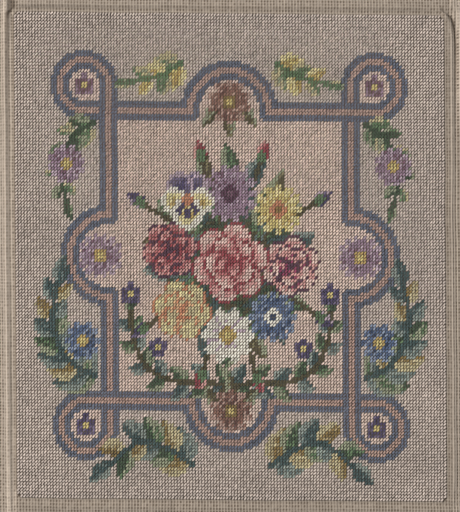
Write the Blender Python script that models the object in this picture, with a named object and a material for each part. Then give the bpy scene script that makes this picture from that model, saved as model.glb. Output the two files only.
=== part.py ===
"""Needlepoint panel: one sheet of canvas, worked in wool tent stitch, lying face up.

The sheet is one solid. Its middle is the stitched field, thicker because wool covers
both faces of the canvas. Round it runs the bare canvas margin, creased into soft folds
beside the field. The underside lies flat on the surface except below those folds.

Metres, +Z up. +Y is the top of the picture. The origin is the middle of the underside.
"""

import math

import bmesh
import bpy

MM = 0.001

# Driving dimensions, in millimetres
STITCH_WIDE = 2.54
STITCH_HIGH = 2.635
STITCHES_ACROSS = 142
STITCHES_UP = 154
MARGIN_STITCHES = 12
CANVAS_THICK = 1.2
FIELD_THICK = 2.7
FIELD_EDGE_ROLL = 1.6

# The worked canvas is pulled out of square: rise of the rows and lean of the columns
ROW_FALL = 0.0095
COLUMN_LEAN = 0.0065

FIELD_HALF_WIDE = STITCHES_ACROSS * STITCH_WIDE / 2
FIELD_HALF_HIGH = STITCHES_UP * STITCH_HIGH / 2
SHEET_HALF_WIDE = FIELD_HALF_WIDE + MARGIN_STITCHES * STITCH_WIDE
SHEET_HALF_HIGH = FIELD_HALF_HIGH + MARGIN_STITCHES * STITCH_HIGH

# Radius of the field's corners: (side, end) is (-1 left or 1 right, -1 bottom or 1 top)
FIELD_CORNERS = {(-1, 1): 6.0, (1, 1): 9.0, (-1, -1): 4.0, (1, -1): 4.0}

# Folds that run up the sheet beside the field. Each row of a table is one section:
# up (place along the fold), out (crest's distance outside the field's side edge),
# rise (crest's height), and the width of the slope towards the field and away from it.
LEFT_FOLD = [
    # up, out, rise, near, away
    (240.0, 8.6, 4.6, 4.6, 7.0),
    (205.0, 7.9, 4.6, 4.4, 6.6),
    (130.0, 7.2, 4.2, 4.2, 6.2),
    (5.0, 7.0, 3.8, 4.2, 6.0),
    (-145.0, 6.3, 3.6, 4.0, 6.0),
    (-200.0, 5.6, 2.6, 4.0, 6.0),
    (-240.0, 5.4, 1.2, 4.0, 6.0),
]
RIGHT_INNER_FOLD = [
    (214.0, -14.0, 0.0, 4.0, 3.4),
    (208.0, -5.0, 1.6, 4.0, 3.4),
    (203.0, 0.6, 2.6, 4.0, 3.4),
    (196.0, 3.2, 3.1, 3.6, 3.2),
    (180.0, 4.4, 3.2, 3.6, 3.2),
    (130.0, 5.0, 3.0, 3.8, 3.4),
    (5.0, 4.2, 1.9, 3.6, 4.6),
    (-100.0, 4.6, 2.2, 3.8, 5.0),
    (-180.0, 4.8, 2.9, 3.8, 5.0),
    (-204.0, 3.8, 1.6, 3.6, 5.0),
    (-226.0, 3.4, 0.0, 3.6, 5.0),
]
RIGHT_OUTER_FOLD = [
    (240.0, 4.0, 1.0, 3.6, 9.0),
    (214.0, 6.4, 2.6, 3.4, 8.0),
    (203.0, 9.0, 3.4, 3.4, 8.0),
    (180.0, 12.2, 3.6, 3.8, 7.6),
    (130.0, 13.0, 3.0, 4.6, 7.6),
    (5.0, 13.4, 1.5, 5.6, 8.0),
    (-145.0, 13.0, 1.2, 6.0, 8.0),
    (-240.0, 12.0, 0.8, 6.0, 8.0),
]
# Folds that run across, above and below the field; the first value is the place across
TOP_FOLD = [
    (-178.0, 6.0, 0.0, 4.0, 7.0),
    (-173.5, 6.2, 2.4, 4.2, 7.6),
    (-150.0, 6.4, 1.8, 4.4, 8.0),
    (0.0, 6.8, 1.3, 4.8, 8.0),
    (150.0, 6.4, 1.6, 4.6, 8.0),
    (178.0, 6.0, 0.4, 4.4, 7.0),
]
BOTTOM_FOLD = [
    (-184.0, 6.4, 0.4, 4.6, 8.0),
    (-140.0, 6.8, 1.1, 4.8, 8.0),
    (0.0, 7.4, 0.8, 5.0, 8.0),
    (140.0, 7.0, 1.0, 4.8, 8.0),
    (184.0, 6.4, 1.5, 4.6, 8.0),
]

# Grid of the solid: how far apart its lines are in each zone
STEP_IN_FOLDS = 1.55
STEP_AT_RIM = 6.0
STEP_IN_FIELD = 33.0
FOLD_ZONE = 19.0
ROLL_ZONE = 2.4


def smooth(t):
    """0 to 1 with soft ends."""
    t = min(1.0, max(0.0, t))
    return t * t * (3.0 - 2.0 * t)


def section(table, along):
    """The fold's values at that place, blended softly between the table's rows."""
    rows = sorted(table)
    if along <= rows[0][0]:
        return rows[0][1:]
    for low, high in zip(rows, rows[1:]):
        if along <= high[0]:
            t = smooth((along - low[0]) / (high[0] - low[0]))
            return tuple(a + (b - a) * t for a, b in zip(low[1:], high[1:]))
    return rows[-1][1:]


def fold_rise(table, along, outside):
    """How far one fold lifts the sheet, at a distance outside the field's edge."""
    crest, rise, near, away = section(table, along)
    width = near if outside < crest else away
    t = min(1.0, abs(outside - crest) / width)
    return rise * (0.5 + 0.5 * math.cos(math.pi * t))


def lift(u, v):
    """Height of the sheet's underside: 0, except where a fold raises it."""
    return max(
        fold_rise(LEFT_FOLD, v, -u - FIELD_HALF_WIDE),
        fold_rise(RIGHT_INNER_FOLD, v, u - FIELD_HALF_WIDE),
        fold_rise(RIGHT_OUTER_FOLD, v, u - FIELD_HALF_WIDE),
        fold_rise(TOP_FOLD, u, v - FIELD_HALF_HIGH),
        fold_rise(BOTTOM_FOLD, u, -v - FIELD_HALF_HIGH),
    )


def inside_field(u, v):
    """Distance inside the edge of the field, a rectangle with round corners."""
    radius = FIELD_CORNERS[(1 if u > 0 else -1, 1 if v > 0 else -1)]
    beyond_u = abs(u) - (FIELD_HALF_WIDE - radius)
    beyond_v = abs(v) - (FIELD_HALF_HIGH - radius)
    if beyond_u > 0 and beyond_v > 0:
        return radius - math.hypot(beyond_u, beyond_v)
    return radius - max(beyond_u, beyond_v)


def thickness(u, v):
    """Bare canvas in the margin, canvas with wool on both faces in the field."""
    wool = FIELD_THICK - CANVAS_THICK
    return CANVAS_THICK + wool * smooth(inside_field(u, v) / FIELD_EDGE_ROLL)


def laid(u, v):
    """Where a place on the square canvas lies once it has been pulled out of square."""
    return u - COLUMN_LEAN * v, v - ROW_FALL * u


def lines(field_half, sheet_half):
    """Places of the grid's lines from one edge of the sheet to the other."""
    fold_end = field_half + FOLD_ZONE
    roll_start = field_half - ROLL_ZONE
    half = [sheet_half]
    for start, end, step in (
        (sheet_half, fold_end, STEP_AT_RIM),
        (fold_end, roll_start, STEP_IN_FOLDS),
        (roll_start, 0.0, STEP_IN_FIELD),
    ):
        count = max(1, round((start - end) / step))
        half += [start + (end - start) * (i + 1) / count for i in range(count)]
    outer = [place for place in half if place > 1e-6]
    return [-place for place in outer] + [0.0] + outer[::-1]


def sheet_mesh(name):
    """The whole sheet as one closed skin: top, underside and the cut edge round them."""
    across = lines(FIELD_HALF_WIDE, SHEET_HALF_WIDE)
    up = lines(FIELD_HALF_HIGH, SHEET_HALF_HIGH)
    skin = bmesh.new()
    top, under = [], []
    for v in up:
        top_row, under_row = [], []
        for u in across:
            x, y = laid(u, v)
            low = lift(u, v)
            high = low + thickness(u, v)
            under_row.append(skin.verts.new((x * MM, y * MM, low * MM)))
            top_row.append(skin.verts.new((x * MM, y * MM, high * MM)))
        top.append(top_row)
        under.append(under_row)

    last_row, last_column = len(up) - 1, len(across) - 1
    for j in range(last_row):
        for i in range(last_column):
            skin.faces.new((top[j][i], top[j][i + 1], top[j + 1][i + 1], top[j + 1][i]))
            skin.faces.new((under[j][i], under[j + 1][i], under[j + 1][i + 1], under[j][i + 1]))
    for i in range(last_column):
        skin.faces.new((under[0][i], under[0][i + 1], top[0][i + 1], top[0][i]))
        skin.faces.new((under[-1][i + 1], under[-1][i], top[-1][i], top[-1][i + 1]))
    for j in range(last_row):
        skin.faces.new((under[j + 1][0], under[j][0], top[j][0], top[j + 1][0]))
        skin.faces.new((under[j][-1], under[j + 1][-1], top[j + 1][-1], top[j][-1]))

    mesh = bpy.data.meshes.new(name)
    skin.to_mesh(mesh)
    skin.free()
    return mesh


def canvas_material():
    """Warm oatmeal canvas and wool, quite matt."""
    material = bpy.data.materials.new("worked_canvas")
    material.use_nodes = True
    shader = material.node_tree.nodes["Principled BSDF"]
    shader.inputs["Base Color"].default_value = (0.42, 0.34, 0.27, 1.0)
    shader.inputs["Roughness"].default_value = 0.95
    shader.inputs["Metallic"].default_value = 0.0
    return material


def clear_scene():
    for old in list(bpy.data.objects):
        bpy.data.objects.remove(old)


def build():
    clear_scene()
    panel = bpy.data.objects.new("panel", sheet_mesh("panel"))
    panel.data.shade_smooth()
    panel.data.set_sharp_from_angle(angle=math.radians(50.0))
    panel.data.materials.append(canvas_material())
    bpy.context.scene.collection.objects.link(panel)


build()
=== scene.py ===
import math

import bpy
import numpy as np
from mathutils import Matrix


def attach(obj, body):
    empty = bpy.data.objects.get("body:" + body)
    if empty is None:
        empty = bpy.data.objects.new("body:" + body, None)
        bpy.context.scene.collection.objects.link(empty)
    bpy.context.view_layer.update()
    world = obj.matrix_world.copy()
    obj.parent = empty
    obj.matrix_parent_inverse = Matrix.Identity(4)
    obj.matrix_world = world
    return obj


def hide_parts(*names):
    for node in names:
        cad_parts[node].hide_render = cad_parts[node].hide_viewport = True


# Looks of a needlepoint panel: a canvas worked in wool tent stitch, lying face up.
# Every stitch is its own small slanted mesh, in the yarn that the chart gives it.
# Sizes are in millimetres on the square canvas (u across, v up) until place() lays them out in metres.

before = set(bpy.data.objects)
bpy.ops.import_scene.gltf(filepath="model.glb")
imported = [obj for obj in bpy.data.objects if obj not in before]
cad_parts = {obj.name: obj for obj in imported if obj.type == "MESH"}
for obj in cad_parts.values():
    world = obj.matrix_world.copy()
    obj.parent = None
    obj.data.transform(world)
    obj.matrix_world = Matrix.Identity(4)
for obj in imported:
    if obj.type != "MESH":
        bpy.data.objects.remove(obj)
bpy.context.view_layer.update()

MM = 0.001

# The canvas and its stitches
STITCH_WIDE = 2.54
STITCH_HIGH = 2.635
STITCHES_ACROSS = 142
STITCHES_UP = 154
MARGIN_STITCHES = 12
CANVAS_THICK = 1.2
ROW_FALL = 0.0095
COLUMN_LEAN = 0.0065
FIELD_HALF_WIDE = STITCHES_ACROSS * STITCH_WIDE / 2
FIELD_HALF_HIGH = STITCHES_UP * STITCH_HIGH / 2
SHEET_WIDE = (STITCHES_ACROSS + 2 * MARGIN_STITCHES) * STITCH_WIDE
SHEET_HIGH = (STITCHES_UP + 2 * MARGIN_STITCHES) * STITCH_HIGH
FIELD_CORNERS = {(-1, 1): 3.6, (1, 1): 5.4, (-1, -1): 3.0, (1, -1): 3.0}

# The margin's folds, close to the solid's: up, out, rise, near, away
LEFT_FOLD = [
    (240.0, 5.6, 4.6, 4.6, 7.0),
    (205.0, 5.8, 4.6, 4.4, 6.6),
    (165.0, 6.9, 4.4, 4.3, 6.4),
    (130.0, 7.2, 4.2, 4.2, 6.2),
    (5.0, 7.0, 3.8, 4.2, 6.0),
    (-145.0, 6.3, 3.6, 4.0, 6.0),
    (-200.0, 5.6, 2.6, 4.0, 6.0),
    (-240.0, 5.4, 1.2, 4.0, 6.0),
]
RIGHT_INNER_FOLD = [
    (214.0, -14.0, 0.0, 4.0, 3.4),
    (208.0, -5.0, 1.6, 4.0, 3.4),
    (203.0, 0.6, 2.6, 4.0, 3.4),
    (196.0, 3.4, 3.1, 3.6, 3.9),
    (180.0, 4.8, 3.2, 3.6, 4.2),
    (130.0, 5.2, 3.0, 3.8, 4.2),
    (5.0, 4.2, 1.9, 3.6, 4.6),
    (-100.0, 4.6, 2.2, 3.8, 5.0),
    (-180.0, 4.8, 2.9, 3.8, 5.0),
    (-204.0, 3.8, 1.6, 3.6, 5.0),
    (-226.0, 3.4, 0.0, 3.6, 5.0),
]
RIGHT_OUTER_FOLD = [
    (240.0, 4.0, 1.0, 3.6, 9.0),
    (214.0, 6.4, 2.6, 3.4, 8.0),
    (203.0, 9.6, 3.4, 3.4, 8.0),
    (180.0, 13.2, 3.6, 3.8, 7.6),
    (130.0, 13.8, 3.0, 4.6, 7.6),
    (5.0, 13.4, 1.5, 5.6, 8.0),
    (-145.0, 13.0, 1.2, 6.0, 8.0),
    (-240.0, 12.0, 0.8, 6.0, 8.0),
]
# The first value is the place across
TOP_FOLD = [
    (-178.0, 6.0, 0.0, 4.0, 7.0),
    (-173.5, 6.2, 2.4, 4.2, 7.6),
    (-150.0, 6.4, 1.8, 4.4, 8.0),
    (0.0, 6.8, 1.3, 4.8, 8.0),
    (150.0, 6.4, 1.6, 4.6, 8.0),
    (178.0, 6.0, 0.4, 4.4, 7.0),
]
BOTTOM_FOLD = [
    (-184.0, 6.4, 0.4, 4.6, 8.0),
    (-140.0, 6.8, 1.1, 4.8, 8.0),
    (0.0, 7.4, 0.8, 5.0, 8.0),
    (140.0, 7.0, 1.0, 4.8, 8.0),
    (184.0, 6.4, 1.5, 4.6, 8.0),
]

# Sharp creases in the margin, pressed in and darkened with painted shade: how far each fades out, then places
# (u, v) along it and its strength there
CREASES = [
    (4.2, [(-181.0, 226.0, 0.0), (-181.2, 212.0, 0.75), (-180.6, 207.0, 0.8), (-182.5, 203.0, 0.2)]),
    (2.1, [(-180.2, 207.0, 0.9), (-184.2, 201.2, 0.9), (-185.2, 196.0, 0.6), (-185.4, 178.5, 0.4),
           (-185.4, 139.3, 0.2), (-185.4, 60.0, 0.0)]),
    (1.4, [(-180.4, 199.0, 0.6), (-180.4, 0.0, 0.5), (-180.4, -196.0, 0.4)]),
    (1.7, [(178.0, 211.0, 0.0), (178.3, 208.2, 0.7), (179.1, 206.1, 0.5), (180.7, 204.2, 0.4),
           (183.2, 203.4, 0.7), (185.0, 202.0, 0.95), (186.3, 199.5, 1.0), (187.0, 197.0, 1.0),
           (187.8, 192.9, 1.0), (188.4, 188.7, 0.95), (188.7, 182.1, 0.9), (188.8, 177.1, 0.85),
           (188.9, 165.5, 0.6), (188.9, 149.0, 0.45), (188.2, 122.0, 0.25), (188.0, 105.0, 0.0)]),
    (1.8, [(180.6, 198.0, 0.08), (180.6, 60.0, 0.08), (180.6, -196.0, 0.05)]),
]
# Places across the even canvas, and how far sideways the threads there have been drawn
DRAWN = [
    (-210.8, 0.0), (-200.3, 1.6), (-193.0, 2.4), (-190.5, 1.9), (-188.0, 2.1), (-185.4, 1.5), (-182.9, 1.25),
    (-180.3, 0.85), (180.3, -1.1), (182.9, -1.1), (185.4, -2.0), (188.0, -1.9), (190.5, -2.1), (193.0, -2.2),
    (200.3, -1.6), (210.8, 0.0),
]
# How deep the creases are pressed in, and how much painted shade darkens them
CREASE_DEPTH = 0.6
CREASE_PAINTED_SHADE = 0.85

# Heights in the worked field, above the surface that it lies on
FIELD_CANVAS_TOP = 1.5
FIELD_EDGE_ROLL = 1.6
PUCKER = 0.16
WAVER = 0.30

# One stitch: half its length, its slant from level, and half its width and height
STITCH_REACH = 1.90
STITCH_SLANT = math.radians(51.0)
STITCH_HALF_WIDE = 0.78
STITCH_HALF_THICK = 0.70
STITCH_SIDES = 6
RING_PLACES = (0.17, 0.5, 0.83)
RING_SIZES = (0.90, 1.0, 0.90)
STITCH_MIDDLE = FIELD_CANVAS_TOP + 0.62
STITCH_DIP = 1.00
# How much wider and deeper the yarn spreads just above the canvas, where its lower sides carry their painted
# shade into the gaps between stitches
STITCH_SPREAD = 1.28
STITCH_SETTLE = 1.6
# Painted shade and a painted highlight on the yarn: how dark it is, from its lower side (-1) up to its crest
# (1), and at its two ends. GAP_SHADE is the painted shade of the wool's colour on the canvas between the
# stitches
FLANK_SHADES = ((-1.0, 0.14), (-0.5, 0.18), (0.5, 0.75), (1.0, 1.22))
END_SHADE = 0.50
GAP_SHADE = 0.12
# Shaded yarn turns warmer: the power that each of red, green and blue is darkened by
SHADE_WARMTH = (0.93, 1.0, 1.08)
STITCHES_IN_A_PIECE = 5500
# How uneven hand stitching is: slant in radians, place in millimetres, the rest as shares
SLANT_VARIES = 0.085
REACH_VARIES = 0.035
WIDTH_VARIES = 0.05
THICKNESS_VARIES = 0.06
PLACE_VARIES = 0.07
# How uneven the wool's colour is: over dye lots, over patches, and from one stitch to the next
LOT_VARIES = 0.05
PATCH_VARIES = 0.04
STRAND_VARIES = 0.09
TINT_VARIES = 0.004

# The canvas: where its lines run in one hole's pitch, and how deep the holes are
THREAD_EDGE = 0.2
HOLE_DEPTH = 0.75
GROOVE_DEPTH = 0.45
FINE_EDGE = 2
FIELD_STEP = 4
# Extra lines, in stitches from the field's right and top edges, that keep the sharp crease smooth
CREASE_COLUMNS = (2.0, 2.65, 3.0, 3.35, 3.65, 4.0, 4.35)
CREASE_ROWS = (-1.0, -0.35, 0.0, 0.35)
UNDER_STEP = 4
# The underside takes the lowest height this far round it, in millimetres, so that it stays below the top
UNDER_REACH = 1.3

# Picture: millimetres to a pixel of the 460 by 512 photograph
MM_PER_PIXEL = 0.8347
PICTURE_HIGH = 512
PICTURE_CENTRE = (-0.4, 0.5)

# Yarns and canvas as they look in the picture's light, 0 to 255, and how much lighter they really are
WOOL_GAIN = 1.80
CANVAS_GAIN = 1.02
YARNS = {
    "oatmeal": (152, 140, 131),
    "shell": (166, 148, 137),
    "blue_deep": (57, 60, 71),
    "blue": (77, 82, 94),
    "salmon": (140, 116, 105),
    "teal_deep": (48, 65, 64),
    "teal": (79, 91, 88),
    "teal_soft": (109, 117, 110),
    "green_deep": (46, 60, 42),
    "green": (74, 94, 66),
    "green_soft": (117, 121, 99),
    "olive_deep": (62, 56, 34),
    "olive": (97, 91, 64),
    "ochre_deep": (106, 88, 50),
    "ochre": (132, 118, 85),
    "straw": (151, 141, 110),
    "yellow_deep": (142, 121, 73),
    "yellow": (161, 147, 95),
    "lemon": (173, 163, 123),
    "plum_deep": (66, 40, 54),
    "plum": (90, 65, 76),
    "mauve": (116, 96, 109),
    "lilac": (141, 125, 134),
    "violet_deep": (56, 48, 74),
    "violet": (84, 75, 96),
    "rose_deep": (112, 46, 52),
    "rose": (140, 83, 83),
    "pink": (163, 120, 115),
    "blush": (175, 151, 142),
    "magenta": (112, 46, 70),
    "navy": (30, 44, 66),
    "cornflower": (64, 78, 102),
    "sky": (106, 116, 133),
    "peach": (168, 134, 101),
    "orange": (150, 101, 75),
    "brick_deep": (77, 50, 44),
    "brick": (106, 76, 65),
    "white": (177, 172, 161),
}
YARN_NUMBER = {name: number for number, name in enumerate(YARNS)}
CANVAS_THREAD = (161, 148, 134)
# The holes' colour is painted shade: the dark below the canvas, seen through them
CANVAS_HOLE_SHADE = (92, 80, 68)
# How much painted light the side folds get, at each distance outside the field
LEFT_FOLD_LIGHT = ((-0.6, 0.0), (0.4, 0.46), (1.3, 0.48), (2.4, 0.30), (3.2, 0.36), (5.5, 0.62), (7.0, 0.34),
                   (8.5, 0.14), (13.0, 0.10))
RIGHT_FOLD_LIGHT = ((8.7, 0.0), (10.0, 0.65), (14.0, 0.45), (20.0, 0.0))
# How far the right fold's painted light reaches down the sheet: where it starts, and where it is full
RIGHT_LIGHT_FROM = 90.0
RIGHT_LIGHT_FULL = 140.0
# How much of the holes' depth and painted shade is lost on the crests, how much of their painted shade is
# lost on the left fold's near slope, and that slope's middle
CREST_HOLES_GONE = 0.40
SLOPE_HOLES_GONE = 0.45
SLOPE_MIDDLE = 3.2
# How open the holes are, which sets how much painted shade each shows, how much darker the grooves between
# the thread pairs are painted as shade, and how light the pairs
HOLE_OPENNESS = (0.40, 1.30)
GROOVE_DARK = 0.34
PAIR_LIGHT = 0.09
# How uneven the canvas's colour is: in single places, in patches, and from thread to thread across and up
CANVAS_PLACE_VARIES = 0.05
CANVAS_PATCH_VARIES = 0.03
COLUMN_VARIES = 0.04
ROW_VARIES = 0.03

TEAL = ["teal_deep", "teal", "teal_soft"]
GREEN = ["green_deep", "green", "green_soft"]
OLIVE = ["olive_deep", "olive", "green_soft"]
OCHRE = ["ochre_deep", "ochre", "straw"]
SPRING = ["green", "green_soft", "straw"]
BLUE = ["navy", "cornflower", "sky"]
ROSE = ["rose_deep", "rose", "pink", "blush"]
RED = ["plum_deep", "rose_deep", "rose", "pink"]
MAGENTA = ["plum_deep", "magenta", "pink", "blush"]
PURPLE = ["plum", "mauve", "lilac"]
VIOLET = ["violet_deep", "violet", "lilac"]
PEACH = ["orange", "peach", "straw", "lemon"]
YELLOW = ["yellow_deep", "yellow", "lemon"]
CREAM = ["yellow_deep", "lemon", "white"]
WHITE = ["lilac", "white", "white"]
BRICK = ["brick_deep", "brick", "salmon"]


def smooth(t):
    """0 to 1 with soft ends."""
    t = np.clip(t, 0.0, 1.0)
    return t * t * (3.0 - 2.0 * t)


def soft_noise(u, v, size, seed):
    """Smooth noise from -1 to 1, with blotches about that size across."""
    reach = 300.0
    count = int(2 * reach / size) + 3
    grid = np.random.default_rng(seed).uniform(-1.0, 1.0, (count, count))
    gu, gv = (np.asarray(u) + reach) / size, (np.asarray(v) + reach) / size
    i, j = gu.astype(int), gv.astype(int)
    s, t = smooth(gu - i), smooth(gv - j)
    low = grid[j, i] * (1 - s) + grid[j, i + 1] * s
    high = grid[j + 1, i] * (1 - s) + grid[j + 1, i + 1] * s
    return low * (1 - t) + high * t


def section(table, along):
    """The fold's values at those places, blended softly between the table's rows."""
    rows = np.array(sorted(table))
    low = np.clip(np.searchsorted(rows[:, 0], along) - 1, 0, len(rows) - 2)
    t = smooth((along - rows[low, 0]) / (rows[low + 1, 0] - rows[low, 0]))
    values = rows[low, 1:] + (rows[low + 1, 1:] - rows[low, 1:]) * t[..., None]
    return np.moveaxis(values, -1, 0)


def fold_rise(table, along, outside):
    """How far one fold lifts the sheet, at a distance outside the field's edge."""
    crest, rise, near, away = section(table, along)
    width = np.where(outside < crest, near, away)
    t = np.minimum(1.0, np.abs(outside - crest) / width)
    return rise * (0.5 + 0.5 * np.cos(math.pi * t))


def drawn(u):
    """Where a place on the even canvas lies across, once the threads are drawn in."""
    return u + np.interp(u, *zip(*DRAWN))


def lift(u, v):
    """Height of the sheet's underside: 0, except where a fold raises it."""
    u = drawn(u)
    return np.maximum.reduce([
        fold_rise(LEFT_FOLD, v, -u - FIELD_HALF_WIDE),
        fold_rise(RIGHT_INNER_FOLD, v, u - FIELD_HALF_WIDE),
        fold_rise(RIGHT_OUTER_FOLD, v, u - FIELD_HALF_WIDE),
        fold_rise(TOP_FOLD, u, v - FIELD_HALF_HIGH),
        fold_rise(BOTTOM_FOLD, u, -v - FIELD_HALF_HIGH),
    ])


def inside_field(u, v):
    """Distance inside the edge of the field, a rectangle with round corners."""
    radius = np.zeros(np.broadcast(u, v).shape)
    for (side, end), corner in FIELD_CORNERS.items():
        radius = np.where((u * side > 0) & (v * end > 0), corner, radius)
    beyond_u = np.abs(u) - (FIELD_HALF_WIDE - radius)
    beyond_v = np.abs(v) - (FIELD_HALF_HIGH - radius)
    straight = radius - np.maximum(beyond_u, beyond_v)
    round_corner = radius - np.hypot(beyond_u, beyond_v)
    return np.where((beyond_u > 0) & (beyond_v > 0), round_corner, straight)


def crease(u, v):
    """How creased the cloth is there, from 0 to 1."""
    u = drawn(u)
    most = np.zeros(np.shape(u))
    for reach, line in CREASES:
        for (u1, v1, start), (u2, v2, end) in zip(line, line[1:]):
            run = math.hypot(u2 - u1, v2 - v1)
            t = np.clip(((u - u1) * (u2 - u1) + (v - v1) * (v2 - v1)) / run**2, 0.0, 1.0)
            away = np.hypot(u - u1 - t * (u2 - u1), v - v1 - t * (v2 - v1))
            strength = (start + (end - start) * t) * smooth(1 - away / reach)
            most = np.maximum(most, strength)
    return most


def place(u, v, z):
    """Places on the square canvas, in millimetres, to places in the frame, in metres."""
    waver_u = WAVER * soft_noise(u, v, 34.0, 11)
    waver_v = WAVER * soft_noise(u, v, 41.0, 12)
    x = drawn(u) - COLUMN_LEAN * v + waver_u
    y = v - ROW_FALL * u + waver_v
    return np.stack([x, y, z], axis=-1) * MM


def true_colour(colour, gain):
    """The scene-linear colour of what looks like that display colour in the picture's light."""
    c = np.asarray(colour, float) / 255.0
    return gain * np.where(c <= 0.04045, c / 12.92, ((c + 0.055) / 1.055) ** 2.4)


# The chart. X and Y are each stitch's place in stitches from the middle of the field.
X, Y = np.meshgrid(
    np.arange(STITCHES_ACROSS) - (STITCHES_ACROSS - 1) / 2,
    np.arange(STITCHES_UP) - (STITCHES_UP - 1) / 2,
)
CHART = np.full(X.shape, YARN_NUMBER["oatmeal"])
SPECKLE = np.random.default_rng(7).random(X.shape)

# The frame: half its width and height, and the size of its corner loops and side lobes
HALF_A, HALF_B, LOOP, LOBE = 40, 46, 8, 13


def put(where, yarn):
    CHART[where] = YARN_NUMBER[yarn]


def shade(where, level, yarns, speckle=0.22):
    """Works a shape in its yarns, from the first at level 0 to the last at 1."""
    level = level + (SPECKLE - 0.5) * speckle * 2
    step = np.clip((level * len(yarns)).astype(int), 0, len(yarns) - 1)
    for number, yarn in enumerate(yarns):
        put(where & (step == number), yarn)


def turned(x, y, degrees):
    a = math.radians(degrees)
    dx, dy = X - x, Y - y
    return dx * math.cos(a) + dy * math.sin(a), dy * math.cos(a) - dx * math.sin(a)


def polar(x, y, degrees=0.0):
    along, across = turned(x, y, degrees)
    return np.hypot(along, across), np.arctan2(across, along)


def curve(points, steps=24):
    """Places along a soft curve through the points."""
    ends = np.array([points[0], *points, points[-1]], float)
    places = []
    for a, b, c, d in zip(ends, ends[1:], ends[2:], ends[3:]):
        for t in np.arange(steps) / steps:
            bend = (2 * a - 5 * b + 4 * c - d) * t * t + (3 * b - a - 3 * c + d) * t**3
            places.append(0.5 * (2 * b + (c - a) * t + bend))
    places.append(ends[-1])
    return places


def stem(points, yarn, half=0.75):
    for x, y in curve(points):
        put(np.hypot(X - x, Y - y) < half, yarn)


def leaf(x, y, degrees, length, width, yarns, bend=0.0):
    """A pointed leaf from its stalk: one half dark, one half light, with a vein."""
    along, across = turned(x, y, degrees)
    t = np.clip(along / length, 0.0, 1.0)
    across = across - bend * length * np.sin(math.pi * t)
    half = width / 2 * np.sin(math.pi * t**0.75) ** 0.8
    where = (along > 0) & (along < length) & (np.abs(across) < half)
    shade(where, 0.5 + 0.5 * across / np.maximum(half, 0.1), yarns)
    put(where & (np.abs(across) < 0.42) & (t < 0.8), yarns[0])


def petal(x, y, degrees, radius, yarns, outline):
    """One round petal that opens towards that direction, dark at its foot and pale at its rim."""
    along, across = turned(x, y, degrees)
    r = np.hypot(along, across) / radius
    put(r < 1.0, outline)
    shade(r < 1.0 - 0.55 / radius, 0.5 + 0.55 * along / radius, yarns, 0.16)


def rose(x, y, radius, yarns, turn=0.0):
    """Rings of round petals over each other: how far out, how big, how many."""
    rings = ((0.60, 0.44, 6), (0.35, 0.35, 5), (0.13, 0.24, 3))
    for ring, (out, size, petals) in enumerate(rings):
        tones = yarns[: len(yarns) - (ring > 1)]
        for number in range(petals):
            degrees = turn + 25 * ring + 360 * number / petals
            a = math.radians(degrees)
            px, py = x + out * radius * math.cos(a), y + out * radius * math.sin(a)
            petal(px, py, degrees, size * radius, tones, yarns[0])
    put(np.hypot(X - x, Y - y) < radius * 0.12, yarns[0])


def rays(x, y, radius, petals, yarns, eye, turn=0.0):
    """An open flower of narrow petals round an eye of two yarns."""
    r, angle = polar(x, y, turn)
    crest = np.abs(np.cos(angle * petals / 2))
    rim = radius * (0.65 + 0.35 * crest**0.7)
    shade(r < rim, 0.55 * crest + 0.3 * r / rim, yarns)
    put(r < radius * 0.30, eye[0])
    put(r < radius * 0.165, eye[1])


def floret(x, y, yarns, size=1.0):
    """Five round petals round a yellow eye."""
    for number in range(5):
        a = math.radians(90 + 72 * number)
        r = np.hypot(X - x - 2.1 * size * math.cos(a), Y - y - 2.1 * size * math.sin(a))
        shade(r < 1.5 * size, 0.2 + 0.3 * r, yarns)
    put(np.hypot(X - x, Y - y) < 0.95 * size, "yellow")


def bud(x, y, degrees, size, yarns):
    leaf(x, y, degrees, size, size * 0.62, yarns)
    for side in (-1, 1):
        leaf(x, y, degrees + 14 * side, size * 0.6, size * 0.34, ["green"])


def pansy(x, y, radius, upper, lower, eye):
    """Two dark upper petals, three pale lower ones with dark lines."""
    petals = [(60, 0.52, 0.52, upper), (120, 0.52, 0.52, upper)]
    petals += [(188, 0.50, 0.48, lower), (-8, 0.50, 0.48, lower), (270, 0.48, 0.58, lower)]
    for degrees, out, size, yarns in petals:
        a = math.radians(degrees)
        r = np.hypot(X - x - out * radius * math.cos(a), Y - y - out * radius * math.sin(a))
        shade(r < size * radius, r / (size * radius), yarns, 0.12)
    r, angle = polar(x, y, -90)
    lines = (np.abs(angle) < 0.9) & (np.abs(np.cos(angle * 5)) > 0.6)
    put(lines & (r > 1.2) & (r < radius * 0.62), upper[0])
    put(r < radius * 0.2, eye)


def branch(points, pairs, tones, length, width, wood, spread=42, taper=0.35, start=0.06):
    """A stem with pairs of leaves and one at its tip."""
    places = curve(points)
    last = len(places) - 1
    for number in range(pairs):
        t = start + (1 - start) * number / pairs
        k = int(t * last)
        dx, dy = places[min(last, k + 3)] - places[max(0, k - 3)]
        way = math.degrees(math.atan2(dy, dx))
        shrink = 1 - taper * t
        for side in (1, -1):
            yarns = tones[(number + (side > 0)) % len(tones)][::side]
            leaf(*places[k], way + side * spread, length * shrink, width * shrink, yarns, 0.06 * side)
    dx, dy = places[-1] - places[-8]
    leaf(*places[-1], math.degrees(math.atan2(dy, dx)), length * 0.75, width * 0.7, tones[0])
    stem(points, wood)


def to_run(x1, y1, x2, y2):
    """Distance from each stitch to a straight run."""
    length = math.hypot(x2 - x1, y2 - y1)
    ux, uy = (x2 - x1) / length, (y2 - y1) / length
    t = np.clip((X - x1) * ux + (Y - y1) * uy, 0, length)
    return np.hypot(X - x1 - t * ux, Y - y1 - t * uy)


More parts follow.
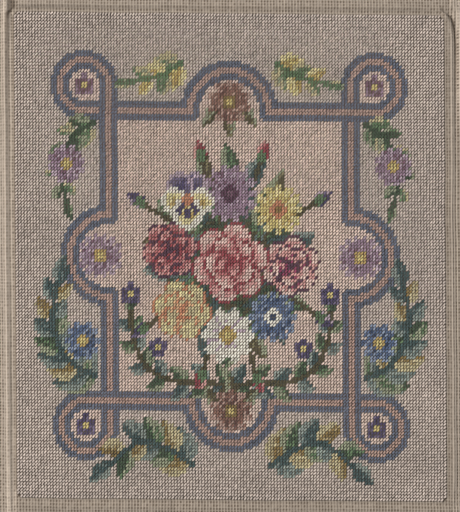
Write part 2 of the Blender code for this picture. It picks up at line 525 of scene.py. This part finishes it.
def to_arc(x, y, radius, middle, reach):
    """Distance from each stitch to an arc that reaches so far to both sides of its middle."""
    r, angle = polar(x, y, middle)
    half = math.radians(reach)
    along, across = r * np.cos(angle), r * np.abs(np.sin(angle))
    end = np.hypot(along - radius * math.cos(half), across - radius * math.sin(half))
    return np.where(np.abs(angle) <= half, np.abs(r - radius), end)


def strap(distance, where):
    """Two blue edges with a salmon core."""
    put(where & (distance < 3.0), "blue")
    put(where & (distance < 1.0), "salmon")


def work_frame():
    """A closed strap round the inner ground, with a lobe on each side and a loop at each corner."""
    ax, ay = np.abs(X), np.abs(Y)
    lobes = np.minimum(np.hypot(X, ay - HALF_B), np.hypot(ax - HALF_A, Y))
    loops = np.hypot(ax - HALF_A - LOOP, ay - HALF_B - LOOP)
    put(((ax < HALF_A) & (ay < HALF_B)) | (lobes < LOBE) | (loops < LOOP), "shell")
    path = []
    for side in (-1, 1):
        path.append(to_arc(0, side * HALF_B, LOBE, side * 90, 90))
        path.append(to_arc(side * HALF_A, 0, LOBE, 90 - side * 90, 90))
    crossings = []
    for sx in (-1, 1):
        for sy in (-1, 1):
            a, b = sx * HALF_A, sy * HALF_B
            level = to_run(sx * LOBE, b, a + sx * LOOP, b)
            upright = to_run(a, sy * LOBE, a, b + sy * LOOP)
            outward = math.degrees(math.atan2(sy, sx))
            path += [level, upright, to_arc(a + sx * LOOP, b + sy * LOOP, LOOP, outward, 135)]
            near = np.maximum(np.abs(X - a), np.abs(Y - b)) < 5
            crossings.append((level if sx * sy > 0 else upright, near))
    strap(np.minimum.reduce(path), np.full(X.shape, True))
    for over, near in crossings:
        strap(over, near)


def work_sides():
    """Branches and flowers, the same on the left and the right."""
    eye = ("yellow_deep", "yellow")
    for s in (-1, 1):
        inner = [(-3 * s, -43), (6 * s, -40), (17 * s, -40), (27 * s, -36), (32 * s, -27), (33 * s, -18)]
        branch(inner, 7, [GREEN, TEAL], 9, 5.2, "olive_deep", start=0.1)
        floret(33 * s, -12, ["violet_deep", "violet"])
        floret(24 * s, -29, ["violet_deep", "violet"], 0.9)
        below = [(13 * s, -66), (21 * s, -61), (30 * s, -59), (40 * s, -66)]
        branch(below, 5, [TEAL, OCHRE, GREEN], 12, 7.4, "teal_deep", 38, 0.25)
        beside = [(45 * s, -38), (50 * s, -36), (56 * s, -30), (59 * s, -20), (57 * s, -9)]
        branch(beside, 8, [TEAL, GREEN, TEAL, OCHRE], 13, 7.6, "teal_deep", 36, 0.45, 0.02)
        above = [(16 * s, 61), (23 * s, 57), (32 * s, 55)]
        branch(above, 3, [SPRING, YELLOW], 9, 5.6, "green")
        upper = [(45 * s, 42), (52 * s, 37), (56 * s, 27), (54 * s, 17)]
        branch(upper, 5, [GREEN, SPRING], 8, 4.6, "green_deep")
        rays(54 * s, 29, 6.5, 12, PURPLE, eye, 10)
        rays(49 * s, -27, 6.5, 10, BLUE, eye)
        rays(43 * s, 0, 7.5, 14, PURPLE, eye)
        floret(48 * s, 54, ["plum", "mauve"])
        floret(48 * s, -54, ["violet_deep", "violet"])
    for y, way in ((49, -90), (-49, 90)):
        for s in (-1, 0, 1):
            leaf(0, y, way + s * 48, 12, 5, OLIVE[:: s or 1], 0.1 * s)
        rays(0, y, 7.5, 10, BRICK, ("ochre_deep", "yellow"), 18)


def work_posy():
    """A lozenge of leaves and buds, then eight flowers round a large one."""
    for number in range(18):
        degrees = 10 + 20 * number
        c, s = math.cos(math.radians(degrees)), math.sin(math.radians(degrees))
        tilt = 1 if number % 2 else -1
        yarns = (TEAL, GREEN, OLIVE)[number % 3]
        leaf(17 * c, 22 * s, degrees + 8 * -tilt, 14 - 2 * abs(c), 6.4, yarns, 0.08 * tilt)
    buds = [(-9, 30, 104), (10, 30, 74), (-9, -36, 252), (8, -37, 292)]
    buds += [(-27, -22, 215), (28, -18, 330), (-28, 16, 150), (28, 17, 35)]
    for x, y, degrees in buds:
        stem([(x * 0.6, y * 0.6), (x, y)], "olive_deep")
        bud(x, y, degrees, 7, ROSE[:3] if abs(x) < 20 else VIOLET)
    heart = np.hypot(X / 0.86, Y + 2) < 25
    depths = ["teal_deep", "green_deep", "olive_deep", "green", "teal"]
    shade(heart, 0.5 + 0.5 * soft_noise(X, Y, 5.0, 9), depths)
    for x, y in ((9, 10), (-9, 10), (10, -13), (-10, -13)):
        degrees = math.degrees(math.atan2(y, x))
        leaf(x, y, degrees - 30, 12, 7, TEAL)
        leaf(x, y, degrees + 30, 12, 7, GREEN)
    rays(0, 20, 9.5, 14, PURPLE, ("plum_deep", "plum"))
    rays(16, 15, 8.5, 12, YELLOW, ("orange", "ochre_deep"))
    rose(20, -3, 9.5, MAGENTA, 20)
    rays(14, -19, 8.5, 12, BLUE, ("white", "navy"))
    rays(-1, -25, 9, 10, WHITE, ("yellow_deep", "yellow"))
    rose(-16, -17, 9.5, PEACH, 50)
    rose(-20, 2, 9, RED, 10)
    pansy(-14, 18, 9, VIOLET, CREAM, "orange")
    rose(0, -2, 12.5, ROSE, 15)


def wool_colours():
    """Each stitch's colour in linear light: its yarn, its dye lot and its own strand."""
    base = true_colour(list(YARNS.values()), WOOL_GAIN)[CHART]
    u, v = X * STITCH_WIDE, Y * STITCH_HIGH
    lot = 1 + LOT_VARIES * soft_noise(u, v, 45.0, 21) + PATCH_VARIES * soft_noise(u, v, 9.0, 22)
    rng = np.random.default_rng(23)
    strand = 1 + rng.normal(0.0, STRAND_VARIES, X.shape)
    tint = 1 + rng.normal(0.0, TINT_VARIES, X.shape + (3,))
    return base * (lot * strand)[..., None] * tint


def mesh_from(name, places, corners, starts, smooth_faces=True):
    """A mesh from places in metres, the faces' corners in one row, and each face's first corner."""
    mesh = bpy.data.meshes.new(name)
    mesh.vertices.add(len(places))
    mesh.vertices.foreach_set("co", np.ascontiguousarray(places, np.float32).ravel())
    mesh.loops.add(len(corners))
    mesh.loops.foreach_set("vertex_index", np.ascontiguousarray(corners, np.int32))
    mesh.polygons.add(len(starts))
    mesh.polygons.foreach_set("loop_start", np.ascontiguousarray(starts, np.int32))
    mesh.update(calc_edges=True)
    mesh.polygons.foreach_set("use_smooth", np.full(len(starts), smooth_faces))
    return mesh


def add_colour(mesh, colours):
    """A colour for each point, in linear light, painted shade and light included."""
    layer = mesh.color_attributes.new("colour_and_painted_light", "FLOAT_COLOR", "POINT")
    rgba = np.ones((len(colours), 4), np.float32)
    rgba[:, :3] = np.clip(colours, 0.0, 1.0)
    layer.data.foreach_set("color", rgba.ravel())


def add_map(mesh, name, values):
    """A UV map with a value for each face corner."""
    layer = mesh.uv_layers.new(name=name)
    layer.uv.foreach_set("vector", np.ascontiguousarray(values, np.float32).ravel())


def add_flat_map(mesh, places, corners):
    """A map straight from above, for one picture of the whole piece."""
    size = max(SHEET_WIDE, SHEET_HIGH) * MM * 1.02
    add_map(mesh, "OFBake", places[corners][:, :2] / size + 0.5)


def add_piece(name, mesh, material):
    piece = bpy.data.objects.new(name, mesh)
    mesh.materials.append(material)
    bpy.context.scene.collection.objects.link(piece)
    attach(piece, "root")
    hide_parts("panel")
    return piece


def pucker(u, v):
    """How far the wool's pull has raised the worked canvas."""
    return PUCKER * (1 + soft_noise(u, v, 52.0, 33))


def stitch_shape():
    """One stitch as places (share of its length, turn round it, share of its size) and faces.

    The lower faces come first. The first and last places are its two ends.
    """
    spots = [(0.0, 0.25, 0.0)]
    for t, size in zip(RING_PLACES, RING_SIZES):
        spots += [(t, side / STITCH_SIDES, size) for side in range(STITCH_SIDES)]
    spots.append((1.0, 0.25, 0.0))
    end = len(spots) - 1
    faces = []
    for side in (0, 5, 1, 4, 2, 3):
        following = (side + 1) % STITCH_SIDES
        faces.append([(0, side + 0.5), (1 + following, side + 1), (1 + side, side)])
        for ring in range(len(RING_PLACES) - 1):
            a, b = 1 + ring * STITCH_SIDES, 1 + (ring + 1) * STITCH_SIDES
            faces.append([(a + side, side), (a + following, side + 1),
                          (b + following, side + 1), (b + side, side)])
        last = 1 + (len(RING_PLACES) - 1) * STITCH_SIDES
        faces.append([(last + side, side), (last + following, side + 1), (end, side + 0.5)])
    return np.array(spots), faces


def make_stitches(name, rows, columns, colours, material):
    """The stitches at those rows and columns of the chart, as one piece."""
    spots, faces = stitch_shape()
    count = len(rows)
    u = X[rows, columns] * STITCH_WIDE
    v = Y[rows, columns] * STITCH_HIGH
    rng = np.random.default_rng(31)
    jitter = rng.normal(0.0, 1.0, X.shape + (6,))[rows, columns][:, :, None]
    slant = STITCH_SLANT + SLANT_VARIES * jitter[:, 0]
    reach = STITCH_REACH * (1 + REACH_VARIES * jitter[:, 1])
    wide = STITCH_HALF_WIDE * (1 + WIDTH_VARIES * jitter[:, 2])
    thick = STITCH_HALF_THICK * (1 + THICKNESS_VARIES * jitter[:, 3])
    t, size = spots[:, 0][None], spots[:, 2][None]
    turn = 2 * math.pi * spots[:, 1][None] - math.pi / 2
    along = (2 * t - 1) * reach
    low = np.abs(np.sin(turn) + 0.5) < 0.1
    aside = wide * size * np.cos(turn) * np.where(low, STITCH_SPREAD, 1.0)
    mid_u = u[:, None] + PLACE_VARIES * jitter[:, 4]
    mid_v = v[:, None] + PLACE_VARIES * jitter[:, 5]
    pu = mid_u + along * np.cos(slant) - aside * np.sin(slant)
    pv = mid_v + along * np.sin(slant) + aside * np.cos(slant)
    bed = (lift(u, v) + pucker(u, v))[:, None]
    rise = thick * size * np.sin(turn) * np.where(low, STITCH_SETTLE, 1.0)
    height = bed + STITCH_MIDDLE - STITCH_DIP * (2 * t - 1) ** 2 + rise
    places = place(pu, pv, height).reshape(-1, 3)

    corners = np.array([corner for face in faces for corner, _ in face])
    sides = np.array([side for face in faces for _, side in face]) / STITCH_SIDES
    lengths = np.array([len(face) for face in faces])
    starts = np.concatenate([[0], np.cumsum(lengths)[:-1]])
    first_place = len(spots) * np.arange(count)[:, None]
    all_corners = (corners[None] + first_place).ravel()
    all_starts = (starts[None] + len(corners) * np.arange(count)[:, None]).ravel()
    mesh = mesh_from(name, places, all_corners, all_starts)

    # Painted shade on the yarn's lower sides, end rings and ends, and a painted highlight on its crest
    flank = np.interp(np.sin(turn[0]), *zip(*FLANK_SHADES))
    depth = np.where(size[0] == 0.0, END_SHADE, flank * np.where(size[0] < 1.0, 0.86, 1.0))
    shades = colours[rows, columns][:, None, :] * depth[None, :, None] ** np.array(SHADE_WARMTH)
    add_colour(mesh, shades.reshape(-1, 3))
    yarn_along = spots[corners, 0][None] + rng.random((count, 1))
    yarn = np.stack([yarn_along, np.broadcast_to(sides[None], yarn_along.shape)], axis=-1)
    add_map(mesh, "yarn", yarn.reshape(-1, 2))
    add_flat_map(mesh, places, all_corners)
    return add_piece(name, mesh, material)


GROUPS = {
    "outer_ground": ("ground_wool", ["oatmeal"]),
    "inner_ground": ("inner_ground_wool", ["shell"]),
    "band": ("band_wool", ["blue_deep", "blue", "salmon"]),
    "leaf": ("leaf_wool", sorted({yarn for tones in (TEAL, GREEN, OLIVE, OCHRE, SPRING) for yarn in tones})),
    "flower": ("flower_wool", None),
}


def stitched_places():
    """Which places of the chart are worked: all but those outside the field's round corners."""
    return inside_field(X * STITCH_WIDE, Y * STITCH_HIGH) > 0.9


def make_all_stitches(colours):
    worked = stitched_places()
    taken = {name: group for group, (_, names) in GROUPS.items() for name in names or ()}
    pieces = []
    for group, (slot, names) in GROUPS.items():
        numbers = [YARN_NUMBER[name] for name in YARNS if taken.get(name, "flower") == group]
        rows, columns = np.nonzero(worked & np.isin(CHART, numbers))
        parts = math.ceil(len(rows) / STITCHES_IN_A_PIECE)
        material = wool_material(f"{group}_wool")
        for part in range(parts):
            pick = slice(len(rows) * part // parts, len(rows) * (part + 1) // parts)
            name = f"{group}_stitches_{part + 1}" if parts > 1 else f"{group}_stitches"
            pieces.append(make_stitches(name, rows[pick], columns[pick], colours, material))
    return pieces


def canvas_lines(count, extra):
    """Lines across the canvas in stitches: each thread pair's middle and edges, and both cut edges."""
    cells = np.arange(-MARGIN_STITCHES, count + MARGIN_STITCHES)
    inner = (cells[:, None] + np.array([THREAD_EDGE, 0.5, 1 - THREAD_EDGE])).ravel()
    extra = count + np.array(extra)
    return np.sort(np.concatenate([[-MARGIN_STITCHES], inner, extra, [count + MARGIN_STITCHES]]))


def coarse_picks(lines, first, last, step):
    """Indexes of the thread middles from first to last, a step apart."""
    wanted = np.append(np.arange(first, last, step), last)
    return np.searchsorted(lines, wanted - 1e-6)


def cell_faces(number, rows, columns):
    """Faces between neighbouring picked lines, with every place that lies on their edges."""
    faces = []
    for r0, r1 in zip(rows, rows[1:]):
        for c0, c1 in zip(columns, columns[1:]):
            ring = [*number[r0, c0:c1], *number[r0:r1, c1], *number[r1, c1:c0:-1], *number[r1:r0:-1, c0]]
            faces.append([k for k in ring if k >= 0])
    return faces


def crest(u, v):
    """How near a fold's crest a place is, from 0 to 1."""
    return smooth((lift(u, v) - 0.8) / 1.6)


def worked_share(u, v):
    """0 on bare canvas and 1 below the wool."""
    return smooth((inside_field(u, v) - 0.9) / FIELD_EDGE_ROLL)


def between_threads(places):
    """Whether each place, counted in stitches, lies between two thread pairs."""
    return np.minimum(places % 1, 1 - places % 1) < 0.3


def canvas_top(u, v, across, up):
    """Height of the canvas: threads and holes in the margin, hidden below the wool in the field."""
    off_u, off_v = between_threads(across), between_threads(up)
    weave = np.where(off_u & off_v, -HOLE_DEPTH, np.where(off_u, -GROOVE_DEPTH, np.where(off_v, -0.04, 0.0)))
    inside = worked_share(u, v)
    weave = weave * (1 - CREST_HOLES_GONE * crest(u, v))
    canvas = CANVAS_THICK + (weave - CREASE_DEPTH * crease(u, v)) * (1 - inside)
    return np.maximum(canvas + (FIELD_CANVAS_TOP - CANVAS_THICK) * inside, 0.25)


def canvas_colours(u, v, across, up, wool, under):
    """Tan threads in the margin, with painted shade in its holes, grooves and creases and painted light on
    its side folds; in the field, the wool's colour, darkened as painted shade between the stitches.
    """
    off_u, off_v = between_threads(across), between_threads(up)
    outside_left = -drawn(u) - FIELD_HALF_WIDE
    outside_right = drawn(u) - FIELD_HALF_WIDE
    rng = np.random.default_rng(41)
    tone = rng.normal(0.0, CANVAS_PLACE_VARIES, u.shape) + CANVAS_PATCH_VARIES * soft_noise(u, v, 24.0, 42)
    tone += rng.normal(0.0, COLUMN_VARIES, 400)[np.floor(across * 2).astype(int)]
    tone += rng.normal(0.0, ROW_VARIES, 400)[np.floor(up * 2).astype(int)]
    # Painted light on the side folds
    tone += np.interp(outside_left, *zip(*LEFT_FOLD_LIGHT))
    lit = smooth((v - RIGHT_LIGHT_FROM) / (RIGHT_LIGHT_FULL - RIGHT_LIGHT_FROM))
    tone += np.interp(outside_right, *zip(*RIGHT_FOLD_LIGHT)) * lit
    # Painted shade in the grooves between the thread pairs
    tone += PAIR_LIGHT - np.where(off_u, GROOVE_DARK, 0.0)
    thread = true_colour(CANVAS_THREAD, CANVAS_GAIN) * (1 + tone)[:, None]
    # Painted shade in the holes, less of it on the crests and on the left fold's near slope
    openness = rng.uniform(*HOLE_OPENNESS, (400, 400))[np.round(up).astype(int), np.round(across).astype(int)]
    slope = np.clip(1 - np.abs(outside_left - SLOPE_MIDDLE) / SLOPE_MIDDLE, 0, 1)
    hole = np.where(off_u & off_v, np.minimum(openness, 1.0), 0.0)
    hole *= (1 - CREST_HOLES_GONE * crest(u, v)) * (1 - SLOPE_HOLES_GONE * slope)
    hole = (hole * (0.0 if under else 1.0))[:, None]
    colour = thread * (1 - hole) + true_colour(CANVAS_HOLE_SHADE, CANVAS_GAIN) * hole
    # Painted shade in the creases
    colour *= (1 - CREASE_PAINTED_SHADE * crease(u, v))[:, None] ** np.array(SHADE_WARMTH)
    i = np.clip(np.round(across - 0.5).astype(int), 0, STITCHES_ACROSS - 1)
    j = np.clip(np.round(up - 0.5).astype(int), 0, STITCHES_UP - 1)
    # Below the wool the top takes the wool's colour darkened as painted shade between the stitches; the
    # underside takes it a little darker
    depth = np.full(3, 0.80) if under else GAP_SHADE ** np.array(SHADE_WARMTH)
    share = smooth((inside_field(u, v) + 0.4) / 0.8)[:, None]
    return colour * (1 - share) + wool[j, i] * depth * share


def top_grid(across, up):
    """Numbers of the top's places (-1 for none), its fine faces, and its coarse ones below the wool."""
    half = FINE_EDGE + 0.5
    inside_a = (across > half + 1e-6) & (across < STITCHES_ACROSS - half - 1e-6)
    inside_b = (up > half + 1e-6) & (up < STITCHES_UP - half - 1e-6)
    columns = coarse_picks(across, half, STITCHES_ACROSS - half, FIELD_STEP)
    rows = coarse_picks(up, half, STITCHES_UP - half, FIELD_STEP)
    keep = ~(inside_b[:, None] & inside_a[None])
    keep[np.ix_(rows, columns)] = True
    top = np.full(keep.shape, -1)
    top[keep] = np.arange(keep.sum())
    cell = ~(((across[:-1] > half - 1e-6) & (across[1:] < STITCHES_ACROSS - half + 1e-6))[None]
             & ((up[:-1] > half - 1e-6) & (up[1:] < STITCHES_UP - half + 1e-6))[:, None])
    b, a = np.nonzero(cell)
    quads = np.stack([top[b, a], top[b, a + 1], top[b + 1, a + 1], top[b + 1, a]], axis=1)
    return top, quads, cell_faces(top, rows, columns)


def under_grid(across, up, first):
    """Numbers of the underside's places, counted on from first, and its faces."""
    columns = under_picks(across, STITCHES_ACROSS)
    rows = under_picks(up, STITCHES_UP)
    keep = np.zeros((len(up), len(across)), bool)
    keep[np.ix_(rows, columns)] = True
    keep[[0, -1], :] = True
    keep[:, [0, -1]] = True
    under = np.full(keep.shape, -1)
    under[keep] = first + np.arange(keep.sum())
    return under, [face[::-1] for face in cell_faces(under, rows, columns)]


def rim_faces(top, under):
    """The cut edge, between the rims of the top and of the underside."""
    faces = []
    for high, low in (
        (top[0], under[0]), (top[-1][::-1], under[-1][::-1]),
        (top[::-1, 0], under[::-1, 0]), (top[:, -1], under[:, -1]),
    ):
        faces += [list(face) for face in zip(low[:-1], low[1:], high[1:], high[:-1])]
    return faces


def canvas_heights(u, v, across, up, is_top):
    """Height of each of the sheet's places above the floor."""
    raised = pucker(u, v) * smooth(inside_field(u, v) / 8)
    top = lift(u, v) + canvas_top(u, v, across, up) + raised
    reach = UNDER_REACH
    around = [lift(u - reach, v), lift(u + reach, v), lift(u, v - reach), lift(u, v + reach), lift(u, v)]
    return np.where(is_top, top, np.min(around, axis=0))


def make_canvas(wool, material):
    """The sheet as one closed skin: top, underside and the cut edge between them."""
    across = canvas_lines(STITCHES_ACROSS, CREASE_COLUMNS)
    up = canvas_lines(STITCHES_UP, CREASE_ROWS)
    top, quads, faces = top_grid(across, up)
    top_count = top.max() + 1
    under, under_faces = under_grid(across, up, top_count)
    faces += under_faces + rim_faces(top, under)

    grid_a, grid_b = np.meshgrid(across, up)
    a_all = np.concatenate([grid_a[top >= 0], grid_a[under >= 0]])
    b_all = np.concatenate([grid_b[top >= 0], grid_b[under >= 0]])
    is_top = np.arange(len(a_all)) < top_count
    u = (a_all - STITCHES_ACROSS / 2) * STITCH_WIDE
    v = (b_all - STITCHES_UP / 2) * STITCH_HIGH
    places = place(u, v, canvas_heights(u, v, a_all, b_all, is_top))
    lengths = [4] * len(quads) + [len(face) for face in faces]
    corners = np.concatenate([quads.ravel(), np.array([k for face in faces for k in face])])
    starts = np.concatenate([[0], np.cumsum(lengths)[:-1]])
    mesh = mesh_from("canvas_sheet", places, corners, starts)
    colours = np.where(
        is_top[:, None],
        canvas_colours(u, v, a_all, b_all, wool, False),
        canvas_colours(u, v, a_all, b_all, wool, True),
    )
    add_colour(mesh, colours)
    add_map(mesh, "weave", np.stack([a_all, b_all], axis=-1)[corners])
    return add_piece("canvas_sheet", mesh, material)


def under_picks(lines, count):
    """Lines of the underside: every thread pair in the margin, and far fewer below the field."""
    margin = np.arange(MARGIN_STITCHES)
    field = np.append(np.arange(0.5, count - 0.5, UNDER_STEP), count - 0.5)
    wanted = np.concatenate([[-MARGIN_STITCHES], margin - MARGIN_STITCHES + 0.5, field,
                             margin + count + 0.5, [count + MARGIN_STITCHES]])
    return np.searchsorted(lines, wanted - 1e-6)


class Nodes:
    """A material's node tree, written one node a line."""

    def __init__(self, name, roughness, sheen):
        self.material = bpy.data.materials.new(name)
        self.material.use_nodes = True
        self.tree = self.material.node_tree
        self.shader = self.tree.nodes["Principled BSDF"]
        self.shader.inputs["Roughness"].default_value = roughness
        self.shader.inputs["Specular IOR Level"].default_value = 0.25
        self.shader.inputs["Sheen Weight"].default_value = sheen
        self.shader.inputs["Sheen Roughness"].default_value = 0.6

    def add(self, kind, **settings):
        node = self.tree.nodes.new(kind)
        for key, value in settings.items():
            setattr(node, key, value)
        return node

    def link(self, output, socket):
        self.tree.links.new(output, socket)

    def maths(self, operation, first, second=0.0):
        node = self.add("ShaderNodeMath", operation=operation)
        for socket, value in zip(node.inputs, (first, second)):
            if isinstance(value, (int, float)):
                socket.default_value = value
            else:
                self.link(value, socket)
        return node.outputs[0]

    def noise(self, coordinates, scale, detail=2.0):
        node = self.add("ShaderNodeTexNoise")
        node.inputs["Scale"].default_value = scale
        node.inputs["Detail"].default_value = detail
        self.link(coordinates, node.inputs["Vector"])
        return node.outputs["Fac"]

    def between(self, value, low, high):
        """The value, 0 to 1, spread from low to high."""
        node = self.add("ShaderNodeMapRange")
        node.inputs["To Min"].default_value = low
        node.inputs["To Max"].default_value = high
        self.link(value, node.inputs["Value"])
        return node.outputs["Result"]

    def times(self, colour, factor):
        node = self.add("ShaderNodeVectorMath", operation="SCALE")
        self.link(colour, node.inputs[0])
        self.link(factor, node.inputs["Scale"])
        return node.outputs["Vector"]

    def bump(self, height, distance, strength):
        node = self.add("ShaderNodeBump")
        node.inputs["Distance"].default_value = distance
        node.inputs["Strength"].default_value = strength
        self.link(height, node.inputs["Height"])
        self.link(node.outputs["Normal"], self.shader.inputs["Normal"])

    def colour_of_points(self):
        return self.add("ShaderNodeAttribute", attribute_name="colour_and_painted_light").outputs["Color"]

    def object_places(self):
        return self.add("ShaderNodeTexCoord").outputs["Object"]


def wool_material(name):
    """Two-ply wool: the ply's twist and loose fibres in the relief, heathered colour, and painted shade in
    the twist's grooves.
    """
    nodes = Nodes(name, roughness=0.92, sheen=0.18)
    yarn = nodes.add("ShaderNodeUVMap", uv_map="yarn")
    split = nodes.add("ShaderNodeSeparateXYZ")
    nodes.link(yarn.outputs["UV"], split.inputs[0])
    along = nodes.maths("MULTIPLY", split.outputs[0], 1.6)
    round_it = nodes.maths("MULTIPLY", split.outputs[1], 2.0)
    lay = nodes.maths("ADD", along, round_it)
    ply = nodes.maths("SINE", nodes.maths("MULTIPLY", lay, 2 * math.pi))
    places = nodes.object_places()
    fibre = nodes.noise(places, 3400.0, 4.0)
    height = nodes.maths("ADD", nodes.maths("MULTIPLY", ply, 0.45), fibre)
    nodes.bump(height, 0.00040, 0.9)
    heather = nodes.between(nodes.noise(places, 1500.0, 2.0), 0.80, 1.20)
    # Painted shade along the low lines of the ply's twist
    painted_ply_shade = nodes.between(nodes.maths("ADD", nodes.maths("MULTIPLY", ply, 0.5), 0.5), 0.80, 1.10)
    colour = nodes.times(nodes.times(nodes.colour_of_points(), heather), painted_ply_shade)
    nodes.link(colour, nodes.shader.inputs["Base Color"])
    return nodes.material


def canvas_material():
    """Double threads both ways, with slubs, painted shade between the thread ridges and an uneven tan."""
    nodes = Nodes("double_thread_canvas", roughness=0.95, sheen=0.08)
    weave = nodes.add("ShaderNodeUVMap", uv_map="weave")
    split = nodes.add("ShaderNodeSeparateXYZ")
    nodes.link(weave.outputs["UV"], split.inputs[0])
    ridges = []
    for axis in (0, 1):
        wave = nodes.maths("COSINE", nodes.maths("MULTIPLY", split.outputs[axis], 6 * math.pi))
        ridges.append(nodes.maths("MULTIPLY", wave, 0.5))
    places = nodes.object_places()
    fibre = nodes.noise(places, 2200.0, 3.0)
    height = nodes.maths("ADD", nodes.maths("ADD", ridges[0], nodes.maths("MULTIPLY", ridges[1], 0.5)), fibre)
    nodes.bump(height, 0.00018, 0.6)
    # Painted shade along the low lines between the thread ridges
    painted_groove_shade = nodes.between(nodes.maths("ADD", ridges[0], 0.5), 0.86, 1.08)
    slub = nodes.between(nodes.noise(places, 900.0, 2.0), 0.82, 1.16)
    colour = nodes.times(nodes.times(nodes.colour_of_points(), painted_groove_shade), slub)
    nodes.link(colour, nodes.shader.inputs["Base Color"])
    return nodes.material


def plain_material(name, colour, roughness):
    nodes = Nodes(name, roughness, sheen=0.0)
    nodes.shader.inputs["Base Color"].default_value = (*colour, 1.0)
    return nodes.material


def make_stage():
    """A plain pale floor just under the panel."""
    size = 3.0
    corners = np.array([(-size, -size, 0), (size, -size, 0), (size, size, 0), (-size, size, 0)], float)
    corners[:, 2] = -0.0002
    floor = bpy.data.objects.new("floor", mesh_from("floor", corners, np.arange(4), [0], False))
    floor.data.materials.append(plain_material("pale_floor", (0.62, 0.60, 0.57), 0.8))
    bpy.context.scene.collection.objects.link(floor)


def add_area_light(name, spot, size, power, colour):
    lamp = bpy.data.lights.new(name, "AREA")
    lamp.size = size
    lamp.energy = power
    lamp.color = colour
    light = bpy.data.objects.new(name, lamp)
    light.location = spot
    light.rotation_euler = (-light.location).to_track_quat("-Z", "Y").to_euler()
    bpy.context.scene.collection.objects.link(light)


def make_lights():
    """Soft light from the upper left, with a weak fill and an even surround."""
    add_area_light("key", (-1.5, 1.0, 2.4), 1.7, 112.0, (1.0, 0.985, 0.965))
    add_area_light("fill", (1.3, -1.2, 2.2), 2.0, 24.0, (0.98, 0.99, 1.0))
    world = bpy.data.worlds.new("surround")
    world.use_nodes = True
    back = world.node_tree.nodes["Background"]
    back.inputs["Color"].default_value = (0.96, 0.97, 1.0, 1.0)
    back.inputs["Strength"].default_value = 0.30
    bpy.context.scene.world = world


def make_camera():
    """Straight above, with the picture's frame on the panel."""
    lens, sensor = 85.0, 36.0
    data = bpy.data.cameras.new("camera")
    data.lens = lens
    data.sensor_width = sensor
    camera = bpy.data.objects.new("camera", data)
    high = PICTURE_HIGH * MM_PER_PIXEL * MM * lens / sensor
    camera.location = (PICTURE_CENTRE[0] * MM, PICTURE_CENTRE[1] * MM, high + STITCH_MIDDLE * MM)
    bpy.context.scene.collection.objects.link(camera)
    bpy.context.scene.camera = camera


def build():
    work_frame()
    work_sides()
    work_posy()
    wool = wool_colours()
    stitches = make_all_stitches(wool)
    canvas = make_canvas(wool, canvas_material())
    make_stage()
    make_lights()
    make_camera()
    bpy.context.scene.view_settings.view_transform = "Standard"


build()
